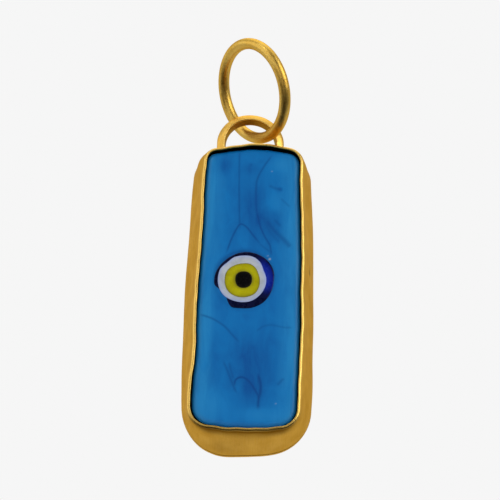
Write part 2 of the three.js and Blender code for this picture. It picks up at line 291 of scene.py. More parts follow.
class Nodes:
    """A material's node tree, with short calls for what these materials are made of."""

    def __init__(self, name):
        self.material = bpy.data.materials.new(name)
        self.material.use_nodes = True
        self.tree = self.material.node_tree
        self.shader = self.tree.nodes["Principled BSDF"]
        coord = self.tree.nodes.new("ShaderNodeTexCoord")
        self.place = coord.outputs["Object"]

    def link(self, value, socket):
        if isinstance(value, (int, float, tuple)):
            socket.default_value = value
        else:
            self.tree.links.new(value, socket)

    def mapped(self, scale):
        node = self.tree.nodes.new("ShaderNodeMapping")
        node.inputs["Scale"].default_value = tuple(s / MM for s in scale)
        self.link(self.place, node.inputs["Vector"])
        return node.outputs["Vector"]

    def noise(self, scale, detail=3.0, roughness=0.5, distortion=0.0):
        """Noise whose size is in waves for each millimetre along X, Y and Z."""
        node = self.tree.nodes.new("ShaderNodeTexNoise")
        self.link(self.mapped(scale), node.inputs["Vector"])
        node.inputs["Scale"].default_value = 1.0
        node.inputs["Detail"].default_value = detail
        node.inputs["Roughness"].default_value = roughness
        node.inputs["Distortion"].default_value = distortion
        return node.outputs["Fac"]

    def attribute(self, name):
        node = self.tree.nodes.new("ShaderNodeAttribute")
        node.attribute_name = name
        return node.outputs["Fac"]

    def math(self, operation, a, b=0.0, clamp=False):
        node = self.tree.nodes.new("ShaderNodeMath")
        node.operation = operation
        node.use_clamp = clamp
        self.link(a, node.inputs[0])
        self.link(b, node.inputs[1])
        return node.outputs[0]

    def spread(self, value, lo, hi, to_lo=0.0, to_hi=1.0):
        node = self.tree.nodes.new("ShaderNodeMapRange")
        sockets = ("Value", "From Min", "From Max", "To Min", "To Max")
        for socket, given in zip(sockets, (value, lo, hi, to_lo, to_hi)):
            self.link(given, node.inputs[socket])
        return node.outputs["Result"]

    def mix(self, share, a, b):
        node = self.tree.nodes.new("ShaderNodeMix")
        node.data_type = "RGBA"
        self.link(share, node.inputs["Factor"])
        for value, socket in ((a, node.inputs[6]), (b, node.inputs[7])):
            self.link((*value, 1.0) if isinstance(value, tuple) else value, socket)
        return node.outputs[2]

    def bump(self, height, distance, strength, below=None):
        node = self.tree.nodes.new("ShaderNodeBump")
        node.inputs["Distance"].default_value = distance * MM
        node.inputs["Strength"].default_value = strength
        self.link(height, node.inputs["Height"])
        if below is not None:
            self.link(below, node.inputs["Normal"])
        return node.outputs["Normal"]

    def finish(self, color, roughness, normal=None, **fixed):
        self.link(color, self.shader.inputs["Base Color"])
        self.link(roughness, self.shader.inputs["Roughness"])
        if normal is not None:
            self.link(normal, self.shader.inputs["Normal"])
        for key, value in fixed.items():
            self.shader.inputs[key.replace("_", " ")].default_value = value
        return self.material


GOLD = (0.77, 0.46, 0.088)
GOLD_DEEP = (0.6, 0.325, 0.045)
# Paler gold painted where the metal is polished, as a highlight.
GOLD_HIGHLIGHT_PALE = (0.92, 0.66, 0.2)
GOLD_EDGE_TINT = (0.95, 0.74, 0.4, 1.0)
# Brown for painted shade under the lip and inside the bail, and for a few real stains.
STAIN_AND_SHADE_BROWN = (0.15, 0.055, 0.005)
# Near black for the gap under the lip and the inside of the wall: painted shade, with some soiling.
GRIME_AND_SHADE_BLACK = (0.004, 0.003, 0.002)
BURNISHED_ROUGH = 0.3
GRIME_AND_SHADE_ROUGH = 0.8
GLASS_IOR = 1.5
BAR_SHEEN = 0.22
EYE_SHEEN = 0.14


def gold_material(name, stroke, rough, base=GOLD, deep=GOLD_DEEP, worked=False, grain=1.0):
    """Satin gold with fine strokes, soft mottling and tiny pits. A worked piece carries attributes
    that say where it is polished and painted a paler gold as a highlight, where painted shade and a few
    stains darken it, and where painted shade with some soiling blackens it."""
    n = Nodes(name)
    strokes = n.noise(stroke, 3.0, 0.6)
    mottle = n.noise((0.55, 0.55, 0.55), 4.0, 0.55)
    satin = n.noise((9, 9, 9), 3.0, 0.65)
    scratches = n.noise(tuple(s * 2.6 for s in stroke), 2.0, 0.5, 0.4)
    tone = n.math("ADD", n.math("MULTIPLY", mottle, 0.5), n.math("MULTIPLY", strokes, 0.5))
    color = n.mix(n.spread(tone, 0.36, 0.62), deep, base)
    roughness = n.spread(strokes, 0.3, 0.7, rough - 0.06, rough + 0.08)
    if worked:
        # Polished places: smoother, and painted a paler gold as a highlight.
        polish_highlight = n.attribute("polish_and_highlight")
        bright = n.math("MULTIPLY", polish_highlight, n.spread(satin, 0.4, 0.6, 0.25, 0.9))
        color = n.mix(bright, color, GOLD_HIGHLIGHT_PALE)
        roughness = n.spread(polish_highlight, 0.0, 1.0, roughness, BURNISHED_ROUGH)
        # Brown: painted shade under the lip and on the bail's flat inner side, and a few real stains.
        color = n.mix(n.attribute("stain_and_shade"), color, STAIN_AND_SHADE_BROWN)
        # Near black: painted shade, with some soiling, in the gap under the lip and inside the wall.
        grime_and_shade = n.attribute("grime_and_shade")
        color = n.mix(grime_and_shade, color, GRIME_AND_SHADE_BLACK)
        roughness = n.spread(grime_and_shade, 0.0, 1.0, roughness, GRIME_AND_SHADE_ROUGH)
    normal = n.bump(strokes, 0.05, 0.35 * grain)
    normal = n.bump(scratches, 0.02, 0.3 * grain, normal)
    normal = n.bump(satin, 0.03, 0.4 * grain, normal)
    return n.finish(color, roughness, normal, Metallic=1.0, Specular_Tint=GOLD_EDGE_TINT)


def glass_material(name, color, dark, edge, rough):
    """Opaque glass: soft clouding, a rim where it has run into the next colour, and a satin polish."""
    n = Nodes(name)
    cloud = n.noise((0.9, 0.9, 0.9), 4.0, 0.55, 0.6)
    fine = n.noise((9, 9, 9), 2.0, 0.5)
    shade = n.mix(n.spread(cloud, 0.35, 0.68), dark, color)
    run = n.math("MULTIPLY", n.attribute("edge"), n.spread(fine, 0.3, 0.6, 0.6, 1.0))
    shade = n.mix(run, shade, edge)
    normal = n.bump(cloud, 0.03, 0.3)
    normal = n.bump(fine, 0.008, 0.25, normal)
    polish = n.spread(fine, 0.3, 0.7, rough - 0.05, rough + 0.07)
    return n.finish(shade, polish, normal, IOR=GLASS_IOR, Specular_IOR_Level=EYE_SHEEN)


def bar_material():
    """Cerulean glass with paler streaks along its sides and dark wisps drawn out in it."""
    n = Nodes("blue_glass")
    split = n.tree.nodes.new("ShaderNodeSeparateXYZ")
    n.link(n.place, split.inputs[0])
    across = n.math("SUBTRACT", n.math("DIVIDE", split.outputs["X"], MM), float(CUP[0]))
    across = n.math("ABSOLUTE", across)
    cloud = n.noise((0.55, 0.55, 0.3), 5.0, 0.6, 0.8)
    streak = n.noise((1.4, 0.8, 0.2), 4.0, 0.6, 0.8)
    fine = n.noise((7, 7, 7), 2.0, 0.5)
    placed = n.math("MULTIPLY", n.attribute("cloud"), n.spread(streak, 0.3, 0.65, 0.6, 1.25))
    depth = n.math("ADD", n.spread(cloud, 0.3, 0.7, 0.0, 0.45), placed, clamp=True)
    pale = n.math("MULTIPLY", n.spread(across, 2.4, 4.3), n.spread(streak, 0.32, 0.62, 0.35, 1.0))
    pale = n.math("SUBTRACT", pale, placed, clamp=True)
    color = n.mix(depth, (0.003, 0.165, 0.465), (0.0006, 0.082, 0.31))
    color = n.mix(n.math("MULTIPLY", pale, 0.85), color, (0.016, 0.225, 0.52))
    color = n.mix(n.attribute("wisp"), color, (0.0003, 0.05, 0.22))
    # Pale glints: painted highlights.
    color = n.mix(n.attribute("painted_glint"), color, (0.5, 0.52, 0.45))
    # Dark rim under the lip: painted shade, with some soiling.
    color = n.mix(n.attribute("rim"), color, (0.002, 0.012, 0.04))
    normal = n.bump(cloud, 0.06, 0.3)
    normal = n.bump(fine, 0.008, 0.3, normal)
    polish = n.spread(fine, 0.3, 0.7, 0.3, 0.44)
    return n.finish(color, polish, normal, IOR=GLASS_IOR, Specular_IOR_Level=BAR_SHEEN)


def plain_material(name, light, dark, grain, rough):
    n = Nodes(name)
    clump = n.noise((grain, grain, grain), 5.0, 0.6)
    color = n.mix(n.spread(clump, 0.35, 0.65), dark, light)
    roughness = n.spread(clump, 0.3, 0.7, rough - 0.08, rough + 0.1)
    return n.finish(color, roughness, n.bump(clump, 0.05, 0.5))


# Strokes run the way a piece was brushed: waves for each millimetre along X, Y and Z.
bezel_gold = gold_material("bezel_gold", (9.0, 0.6, 0.6), rough=0.48, worked=True, grain=1.3)
plate_gold = gold_material("plate_gold", (0.7, 3.0, 8.0), rough=0.38)
bail_gold = gold_material(
    "bail_gold", (3.5, 3.5, 3.5), rough=0.38, base=(0.82, 0.52, 0.12), deep=(0.72, 0.41, 0.07), worked=True
)
ring_gold = gold_material(
    "ring_gold", (4.0, 4.0, 4.0), rough=0.38, base=(0.77, 0.52, 0.12), deep=(0.66, 0.38, 0.06)
)
solder = gold_material("solder", (2.0, 2.0, 2.0), rough=0.34, base=(0.7, 0.42, 0.09), deep=(0.55, 0.3, 0.05))
blue_glass = bar_material()


# ---- Bezel wall ----

# Where the hand-worked wall strays from its even shape: (x, z) on the opening's edge, depth, reach
# along the edge, reach in depth, and how far it is pushed out.
DENTS = [
    ((-4.9, 4.5), 0.0, 5.5, 2.5, -0.1),
    ((5.0, 1.0), 1.5, 10.5, 6.0, 0.2),
    ((1.1, 15.1), 0.0, 3.2, 1.4, 0.4),
    ((3.9, 14.9), 0.6, 1.5, 1.6, 0.16),
    ((-5.1, -11.8), 0.0, 2.4, 1.5, 0.26),
    ((-4.5, -13.8), 0.0, 1.2, 1.0, 0.2),
    ((-1.9, -14.9), 0.0, 1.1, 0.7, 0.08),
    ((-5.0, -11.3), 4.4, 2.6, 1.8, -0.1),
    ((-5.4, -14.0), 4.4, 1.5, 1.8, -0.2),
    ((5.2, -10.5), 4.4, 2.8, 2.0, 0.17),
    ((-3.0, -15.0), 4.4, 2.0, 1.6, 0.3),
    ((-0.3, -15.2), 4.4, 2.2, 1.6, 0.04),
    ((3.0, -15.0), 4.4, 2.0, 1.6, 0.1),
    ((-3.9, -14.6), 0.72, 2.3, 0.42, -0.2),
    ((3.5, -14.6), 0.68, 1.4, 0.38, -0.15),
    ((-4.6, 13.8), 1.6, 1.8, 1.2, 0.3),
    ((4.6, 13.8), 1.6, 1.8, 1.2, 0.06),
    ((5.0, -7.5), 0.42, 4.0, 0.14, -0.05),
    ((5.0, 2.4), 2.3, 0.3, 0.35, -0.07),
]
# Painted shade under the bottom lip, and one real dark mark on the right wall: (x, z), depth, reach along the
# wall, reach in depth and strength.
STAINS_AND_SHADE = [
    ((-4.0, -14.9), 0.62, 2.1, 0.5, 0.8),
    ((-1.2, -15.3), 0.7, 2.2, 0.35, 0.35),
    ((3.4, -15.0), 0.6, 1.7, 0.45, 0.75),
    ((0.5, -15.6), 0.9, 4.5, 0.6, 0.25),
    ((5.8, 2.4), 2.35, 0.27, 0.27, 1.5),
]
UNDER_LIP = 0.34  # depth of the crease under the lip, which gets painted shade
# Small pits in the bottom wall: (x, z), depth and size.
PITS = [((2.17, -15.0), 2.1, 0.16), ((2.35, -15.0), 3.0, 0.1), ((2.35, -15.0), 3.5, 0.09)]


def wall_offset(points, depth):
    """How far the wall's skin stands out from its even shape."""
    out = np.zeros(len(points))
    for at, deep, reach, deep_reach, push in DENTS:
        out += push * bump_at(points, at, reach) * math.exp(-(((depth - deep) / deep_reach) ** 2))
    # Hand-beaten unevenness. The finer waves fade away from the lip.
    x, z = points[:, 0], points[:, 1]
    fade = math.exp(-depth / 2.2)
    out += 0.028 * fade * np.sin(1.9 * z + 1.1 * x + 0.4) * np.sin(0.7 * z + 2.0)
    out += 0.02 * fade * np.sin(3.3 * x + 0.9 * z + 1.7)
    out += 0.03 * np.sin(0.55 * z + 0.9 * x + 1.3 * depth)
    return out


def wall_row(depth, inset):
    """One loop of the wall's skin, with its strays."""
    points = outline(depth, inset)
    return points + outward(points) * wall_offset(outline(0, LIP_W), depth)[:, None]


def bezel_rows():
    """Rows from deep inside the cup, over the rolled lip, and down the outside to the back.

    Each row has its own depth, the depth of the outline it follows, its inset, how polished it is (with a
    painted paler highlight), and how much painted shade, with some soiling, blackens it.
    """
    rows = []
    # The inside of the wall is blackened all over with painted shade and some soiling.
    for depth in np.linspace(WALL_BACK, INNER_FACE_TOP, 8):
        rows.append((depth, depth, WALL_T, 0.0, 1.0))
    for depth, inset in INSIDE_ROWS:
        rows.append((depth, depth, inset, 0.0, 1.0))
    for out, depth in LIP_PROFILE:
        # Over the lip: polished, with a painted paler highlight; the gap's painted shade and soiling reach
        # just over its inner edge.
        shine = float(np.interp(out, *LIP_SHINE))
        row_grime_and_shade = 0.9 if out < LIP_GRIME_AND_SHADE_W else 0.0
        rows.append((depth, 0.0, LIP_W - out, shine, row_grime_and_shade))
    # Just below the lip, a little polish with a painted highlight runs onto the outside.
    for depth in OUTSIDE_DEPTHS:
        rows.append((depth, depth, 0.0, 0.12 * math.exp(-((depth / 0.5) ** 2)), 0.0))
    for depth, inset in FOOT_ROWS:
        rows.append((depth, depth, inset, 0.0, 0.0))
    return rows


def build_bezel():
    verts, polish_and_highlight, grime_and_shade = [], [], []
    rows = bezel_rows()
    for y, depth, inset, shine, row_grime_and_shade in rows:
        points = wall_row(depth, inset)
        lift = 0.05 * bump_at(points, (-3.3, -14.6), 1.4)
        lift = lift + 0.03 * np.sin(1.3 * points[:, 0] + 0.6 * points[:, 1])
        near_lip = math.exp(-((y / 0.5) ** 2))
        verts.append(at_cup(points[:, 0], y + lift * near_lip, points[:, 1]))
        polish_and_highlight.append(np.full(len(points), shine))
        grime_and_shade.append(np.full(len(points), row_grime_and_shade))
    count = len(verts[0])
    verts = np.vstack(verts)
    local = verts - CUP
    for (x, z), depth, size in PITS:
        gap = np.hypot(local[:, 0] - x, local[:, 1] - depth)
        verts[:, 2] += 0.05 * np.exp(-((gap / size) ** 2)) * (local[:, 2] < z + 1.2)
    depth = np.repeat([row[0] for row in rows], count)
    # Brown painted shade under the lip, and one real stain.
    stain_and_shade = np.zeros(len(local))
    for at, deep, reach, deep_reach, share in STAINS_AND_SHADE:
        stain_and_shade += share * bump_at(local[:, [0, 2]], at, reach) * np.exp(-(((depth - deep) / deep_reach) ** 2))
    # Painted shade in the crease under the lip: strong along the bottom end, faint all round.
    foot = smooth_step(-local[:, 2], 13.2, 15.0)
    stain_and_shade += 0.75 * foot * np.exp(-(((depth - UNDER_LIP) / 0.23) ** 2))
    stain_and_shade += 0.12 * np.exp(-(((depth - UNDER_LIP) / 0.12) ** 2))
    stain_and_shade = np.clip(stain_and_shade, 0, 0.92)
    faces = tube_faces(len(rows), count, close_rows=True)
    return new_object(
        "bezel_wall_worked",
        verts,
        faces,
        bezel_gold,
        replaces="bezel_wall",
        attributes={"polish_and_highlight": np.concatenate(polish_and_highlight), "grime_and_shade": np.concatenate(grime_and_shade), "stain_and_shade": stain_and_shade},
    )


build_bezel()


# ---- Back plate ----


PLATE_CENTRE_HALF = 5.6  # the flat back's rows draw in to a line this long, each way from the middle


def build_plate():
    front = CUP_DEPTH - PLATE_T
    strays = wall_offset(outline(0, LIP_W), front)[:, None]

    def loop(depth, inset):
        points = outline(depth, inset)
        return points + outward(points) * strays

    rows = [loop(front, 0.06), loop(front, 0.02), loop(front, 0.0)]
    depths = [front, front + 0.03, front + 0.08]
    for angle in np.linspace(0, 90, 7):
        a = math.radians(angle)
        rows.append(loop(CUP_DEPTH, PLATE_ROUND * (1 - math.cos(a))))
        depths.append(CUP_DEPTH - PLATE_ROUND * (1 - math.sin(a)))
    edge = rows[-1]
    height = edge[:, 1]
    for share in (0.97, 0.9, 0.75, 0.55, 0.35, 0.18):
        ends = height - np.sign(height) * (1 - share) * PLATE_CENTRE_HALF
        middle = height * (1 - (1 - share) * 0.999)
        inner = np.where(np.abs(height) < PLATE_CENTRE_HALF, middle, ends)
        rows.append(np.column_stack([edge[:, 0] * share, inner]))
        depths.append(CUP_DEPTH - 0.004 * (1 - share))
    count = len(rows[0])
    verts = np.vstack([at_cup(p[:, 0], np.full(count, y), p[:, 1]) for p, y in zip(rows, depths)])
    faces = capped_faces(len(rows), count)
    return new_object(
        "back_plate_brushed", verts, faces, plate_gold, replaces="back_plate"
    )


build_plate()


# ---- Glass bar ----

EYE = np.array([-0.51, 0.5])
PUPIL = EYE + (-0.05, 0.02)
# Dark wisps: control points (x, z) from the middle of the opening, half width and strength.
WISPS = [
    ([(-1.4, 15.0), (-1.35, 12.0), (-1.25, 9.0), (-1.1, 6.0)], 0.08, 0.6),
    ([(-2.4, 3.2), (-1.9, 4.9), (-1.35, 6.2), (-1.0, 6.6), (-0.45, 6.3), (0.1, 5.6), (0.95, 4.5)], 0.09, 0.8),
    ([(1.95, 14.5), (1.0, 12.9), (0.5, 11.7), (0.4, 10.8), (0.45, 8.8), (0.6, 7.6)], 0.1, 0.6),
    ([(0.5, 8.2), (0.9, 6.5), (1.4, 5.3), (1.95, 4.3), (2.1, 3.2)], 0.09, 0.75),
    ([(0.9, 4.5), (1.5, 4.0), (2.0, 3.6)], 0.08, 0.4),
    ([(1.4, 7.2), (2.4, 5.9), (3.4, 4.9), (4.0, 4.2)], 0.26, 0.5),
    ([(1.1, 7.6), (1.9, 5.9), (2.9, 4.7)], 0.2, 0.3),
    ([(2.3, 7.2), (2.95, 6.5)], 0.15, 0.4),
    ([(1.7, 11.0), (2.3, 10.7), (2.9, 10.6)], 0.15, 0.4),
    ([(2.9, 9.6), (3.8, 8.7)], 0.1, 0.3),
    ([(-4.7, -3.3), (-3.5, -3.7), (-2.35, -4.4), (-1.6, -5.2), (-0.8, -6.1)], 0.1, 0.6),
    ([(0.85, -4.9), (1.45, -4.4), (2.3, -4.2), (3.5, -4.4), (4.3, -4.4)], 0.1, 0.35),
    ([(-2.25, -8.1), (-1.7, -9.4), (-1.3, -10.4), (-0.85, -11.4)], 0.11, 0.55),
    ([(-1.7, -8.2), (-1.45, -9.2), (-1.2, -9.9)], 0.09, 0.45),
    (
        [
            *((-1.1, -10.7), (-1.0, -10.0), (-0.45, -9.7), (0.15, -10.0)),
            *((0.7, -10.7), (1.2, -11.6), (1.25, -12.4)),
        ],
        0.11,
        0.85,
    ),
    ([(1.1, -9.3), (1.4, -10.4), (1.4, -11.1), (1.25, -11.9), (1.2, -12.9)], 0.15, 0.8),
    ([(3.6, -9.7), (3.0, -10.4)], 0.13, 0.4),
]
# Painted highlights, small pale glints on the face: (x, z), reach and strength.
PAINTED_GLINTS = [
    ((1.95, 2.85), 0.09, 0.75),
    ((1.75, 3.2), 0.06, 0.45),
    ((1.95, 12.6), 0.07, 0.3),
    ((2.9, -12.3), 0.07, 0.3),
]
# Soft clouding: (x, z), reach across, reach along and strength; the paler clouds are negative.
CLOUDS = [
    ((0.0, 8.5), 1.4, 2.4, 0.62),
    ((1.5, 6.3), 1.3, 1.9, 0.4),
    ((-2.7, 13.1), 0.6, 0.9, 0.5),
    ((-0.2, 12.8), 0.8, 0.6, 0.4),
    ((-0.15, 13.3), 0.16, 0.16, 0.5),
    ((2.85, 10.6), 0.2, 0.22, 0.6),
    ((0.3, -7.9), 2.2, 2.9, 0.66),
    ((0.6, -10.9), 1.6, 1.2, 0.35),
    ((-3.3, -7.0), 0.5, 3.0, 0.25),
    ((-0.5, -1.5), 3.4, 1.6, 0.2),
    ((2.6, 13.4), 0.9, 0.8, -0.5),
    ((2.3, 9.1), 0.7, 1.2, -0.4),
    ((4.1, 7.6), 0.5, 3.0, -0.5),
    ((-4.3, 10.0), 0.5, 4.0, -0.5),
    ((4.3, -7.0), 0.4, 3.5, -0.5),
    ((-4.1, -5.0), 0.4, 4.0, -0.5),
    ((1.9, -13.5), 2.2, 0.7, -0.5),
    ((-3.0, -12.5), 1.4, 1.4, -0.35),
]
GLASS_COLUMNS = 118
GLASS_ROWS = 330
GLASS_SIDE_DEPTHS = (1.4, 2.6, GLASS_BACK)
EYE_POCKET = 0.14  # how far the face sinks under the eye


def rows_across(edge, zs):
    """The leftmost and rightmost point of a closed outline at each height."""
    spans = []
    nxt = np.roll(edge, -1, axis=0)
    for z in zs:
        crosses = (edge[:, 1] - z) * (nxt[:, 1] - z) <= 0
        a, b = edge[crosses], nxt[crosses]
        t = (z - a[:, 1]) / np.where(np.abs(b[:, 1] - a[:, 1]) < 1e-9, 1e-9, b[:, 1] - a[:, 1])
        xs = a[:, 0] + t * (b[:, 0] - a[:, 0])
        spans.append((xs.min(), xs.max()))
    return spans


def glass_edge():
    points = outline(GLASS_RECESS + GLASS_SHOULDER, GLASS_INSET)
    return points + outward(points) * (0.8 * wall_offset(outline(0, LIP_W), 0.3))[:, None]


def glass_grid(edge):
    """Points all over the face in rows of one length, closer together towards the edge."""
    low, high = edge[:, 1].min(), edge[:, 1].max()
    ends = 0.004 + 0.9 * (1 - np.cos(np.linspace(0, math.pi / 2, 21)))
    zs = np.concatenate([low + ends, np.linspace(low + 1.0, high - 1.0, GLASS_ROWS), high - ends[::-1]])
    u = np.linspace(-1, 1, GLASS_COLUMNS)
    u = np.sign(u) * (1 - (1 - np.abs(u)) ** 1.25)
    rows = []
    for z, (left, right) in zip(zs, rows_across(edge, zs)):
        x = (left + right) / 2 + u * (right - left) / 2
        rows.append(np.column_stack([x, np.full(GLASS_COLUMNS, z)]))
    return np.vstack(rows)


def gap_to(edge, points):
    """How far each point lies from a closed outline."""
    gap = np.full(len(points), FAR)
    for a, b in zip(edge, np.roll(edge, -1, axis=0)):
        ab = b - a
        t = np.clip((points - a) @ ab / (ab @ ab), 0, 1)
        gap = np.minimum(gap, np.linalg.norm(points - a - t[:, None] * ab, axis=1))
    return gap


def glass_marks(points, gap, across):
    """What shows in the face: a halo round the eye and dark wisps, clouding, small painted highlights, and a
    dark rim of painted shade with some soiling.
    """
    above = smooth_step(points[:, 1] - EYE[1], -1.5, 2.0)
    wisp = np.exp(-(((across - 2.9) / 0.26) ** 2)) * (0.22 + 0.38 * above)
    for controls, width, strength in WISPS:
        away, place = near_curve(points, controls)
        taper = smooth_step(place, -0.04, 0.1) * smooth_step(1 - place, -0.04, 0.1)
        wisp = np.maximum(wisp, strength * taper * np.exp(-((away / width) ** 2)))
    cloud = np.zeros(len(points))
    for at, reach, reach_along, share in CLOUDS:
        away = (points - at) / (reach, reach_along)
        cloud += share * np.exp(-(away**2).sum(axis=1))
    # Small painted highlights as pale glints.
    painted_glint = np.zeros(len(points))
    for at, reach, share in PAINTED_GLINTS:
        painted_glint += share * bump_at(points, at, reach)
    # Dark rim where the glass meets the lip: painted shade, with some soiling.
    rim = 0.9 * smooth_step(-gap, -0.07, -0.01)
    return {"wisp": wisp, "cloud": cloud, "painted_glint": painted_glint, "rim": rim}


def build_glass():
    edge = glass_edge()
    points = glass_grid(edge)
    gap = gap_to(edge, points)
    inward = np.clip(1 - gap / GLASS_SHOULDER_W, 0, 1)
    depth = GLASS_RECESS + GLASS_SHOULDER * (1 - np.sqrt(1 - inward**2))
    wave = 0.02 * np.sin(0.9 * points[:, 0] + 0.3) * np.sin(0.33 * points[:, 1] + 0.8)
    across = np.hypot(points[:, 0] - EYE[0], (points[:, 1] - EYE[1]) / EYE_STRETCH)
    depth = depth + wave * smooth_step(gap, 0.3, 1.5) * smooth_step(across, 3.0, 4.5)
    depth = depth + EYE_POCKET * smooth_step(2.5 - across, 0.0, 0.2)

    columns = GLASS_COLUMNS
    last = len(points) - columns
    faces = []
    for row in range(0, last, columns):
        for a in range(row, row + columns - 1):
            faces.append((a, a + 1, a + columns + 1, a + columns))
    loop = [
        *range(columns),
        *range(2 * columns - 1, len(points), columns),
        *range(last + columns - 2, last - 1, -1),
        *range(last - columns, 0, -columns),
    ]
    verts = list(at_cup(points[:, 0], depth, points[:, 1]))
    around = points[loop]
    above = loop
    for deep in GLASS_SIDE_DEPTHS:
        here = list(range(len(verts), len(verts) + len(loop)))
        verts.extend(at_cup(around[:, 0], np.full(len(loop), deep), around[:, 1]))
        for i in range(len(loop)):
            j = (i + 1) % len(loop)
            faces.append((above[i], above[j], here[j], here[i]))
        above = here
    faces.append(tuple(above))

    marks = glass_marks(points, gap, across)
    # The sides and back, out of sight in the cup, get the full dark rim of painted shade.
    unseen = len(verts) - len(points)
    for key, values in marks.items():
        marks[key] = np.append(values, np.full(unseen, 1.0 if key == "rim" else 0.0))
    return new_object(
        "glass_bar_polished",
        np.array(verts),
        faces,
        blue_glass,
        replaces="glass_bar",
        attributes=marks,
    )


build_glass()


# ---- Eye ----

DOT_STEPS = 128
DOT_SHARES = (0.04, 0.15, 0.3, 0.45, 0.6, 0.7, 0.78, 0.84, 0.89, 0.93, 0.965, 1.0)  # of the radius, face
DOT_BACK = ((0.99, 0.12), (0.9, 0.55), (0.6, 0.9), (0.2, 1.0))  # share of the radius, share of the thickness
DOT_SIDE_DROP = 0.05  # from the face to where the back begins
DOT_RUN_POWER = 12  # the higher, the narrower the rim that has run into the next colour


def dot_outline(radii):
    """A closed outline through radii given at even angles, smoothed between them."""
    angle = np.linspace(0, 2 * math.pi, DOT_STEPS, endpoint=False)
    place = angle / (2 * math.pi) * len(radii)
    i = place.astype(int)
    r = np.array([radii[-1], *radii, *radii[:3]])
    return angle, between(r[i], r[i + 1], r[i + 2], r[i + 3], place - i)


def build_dot(name, node, centre, radii, face, thick, crown, material, attributes=None):
    """A dot of glass with a domed face. The attributes are given by a function of its points."""
    angle, radius = dot_outline(radii)
    rows = []
    for s in DOT_SHARES:
        drop = crown * s**4 + 0.012 * smooth_step(s, 0.93, 1.0)
        rows.append((s, face + drop))
    for s, deep in DOT_BACK:
        rows.append((s, face + DOT_SIDE_DROP + thick * deep))
    verts = [at_cup([centre[0]], [face], [centre[1]])]
    for s, y in rows:
        x = centre[0] + s * radius * np.cos(angle)
        z = centre[1] + s * radius * np.sin(angle) * EYE_STRETCH
        verts.append(at_cup(x, np.full(len(x), y), z))
    verts.append(at_cup([centre[0]], [face + DOT_SIDE_DROP + thick], [centre[1]]))
    verts = np.vstack(verts)
    count = len(angle)
    faces = [tuple(1 + i for i in f) for f in tube_faces(len(rows), count)]
    last = 1 + (len(rows) - 1) * count
    for i in range(count):
        j = (i + 1) % count
        faces.append((0, 1 + j, 1 + i))
        faces.append((len(verts) - 1, last + i, last + j))
    made = attributes(verts - CUP) if attributes else {}
    rim = np.repeat([s**DOT_RUN_POWER for s, _ in rows], count)
    made["edge"] = np.maximum([0.0, *rim, 1.0], made.get("edge", 0.0))
    return new_object(name, verts, faces, material, replaces=node, attributes=made)


def navy_material():
    n = Nodes("cobalt_glass")
    cloud = n.noise((1.2, 1.2, 1.2), 3.0, 0.5, 0.5)
    color = n.mix(n.spread(cloud, 0.35, 0.68), (0.001, 0.002, 0.016), (0.0012, 0.003, 0.034))
    color = n.mix(n.attribute("bright"), color, (0.001, 0.009, 0.2))
    color = n.mix(n.attribute("pale"), color, (0.012, 0.028, 0.32))
    polish = n.spread(cloud, 0.3, 0.7, 0.22, 0.34)
    return n.finish(color, polish, n.bump(cloud, 0.02, 0.3), IOR=GLASS_IOR, Specular_IOR_Level=EYE_SHEEN)


def cobalt_side(local):
    """The blue dot is brightest where the white one has slid away from its edge."""
    x, z = local[:, 0] - EYE[0], local[:, 2] - EYE[1]
    angle = np.degrees(np.arctan2(z, x))
    radius = np.hypot(x, z / EYE_STRETCH)
    side = np.exp(-(((angle - 12) / 38) ** 4))
    inside = smooth_step(3.0 - radius, 0.03, 0.2)
    pale = 0.9 * side * np.exp(-(((radius - 2.25) / 0.34) ** 2))
    return {"bright": side * inside, "pale": pale}


def pupil_run(local):
    """The yellow is darkest where it runs into the pupil."""
    x, z = local[:, 0] - PUPIL[0], local[:, 2] - PUPIL[1]
    outside = np.maximum(np.hypot(x, z / EYE_STRETCH) - 0.84, 0)
    return {"edge": 0.75 * np.exp(-((outside / 0.16) ** 2))}


white_glass = glass_material(
    "white_glass", color=(0.48, 0.51, 0.535), dark=(0.36, 0.39, 0.43), edge=(0.3, 0.38, 0.7), rough=0.28
)
yellow_glass = glass_material(
    "yellow_glass", color=(0.45, 0.42, 0.005), dark=(0.36, 0.32, 0.002), edge=(0.11, 0.1, 0.012), rough=0.28
)
black_glass = glass_material(
    "black_glass",
    color=(0.003, 0.002, 0.003),
    dark=(0.001, 0.001, 0.001),
    edge=(0.03, 0.026, 0.004),
    rough=0.24,
)

build_dot(
    "eye_blue_pressed",
    "eye_blue_dot",
    centre=EYE,
    radii=[
        *(2.92, 3.0, 3.06, 3.06, 3.04, 2.99, 2.94, 2.9, 2.86, 2.81, 2.77, 2.75, 2.75, 2.79, 2.84, 2.9),
        *(2.94, 2.92, 2.6, 2.42, 2.42, 2.72, 2.98, 2.9, 2.86, 2.88, 2.9, 2.92, 2.93, 2.92, 2.91, 2.91),
    ],
    face=0.295,
    thick=0.85,
    crown=0.02,
    material=navy_material(),
    attributes=cobalt_side,
)
build_dot(
    "eye_white_pressed",
    "eye_white_dot",
    centre=EYE + (-0.2, 0.19),
    radii=[2.37, 2.26, 2.4, 2.42, 2.3, 2.26, 2.17, 2.34, 2.38, 2.45, 2.5, 2.44, 2.43, 2.47, 2.44, 2.42],
    face=0.265,
    thick=0.65,
    crown=0.016,
    material=white_glass,
)
build_dot(
    "eye_yellow_pressed",
    "eye_yellow_dot",
    centre=EYE + (-0.17, 0.0),
    radii=[1.73, 1.7, 1.78, 1.78, 1.67, 1.66, 1.72, 1.76, 1.74, 1.79, 1.82, 1.8, 1.78, 1.8, 1.86, 1.79],
    face=0.235,
    thick=0.48,
    crown=0.014,
    material=yellow_glass,
    attributes=pupil_run,
)
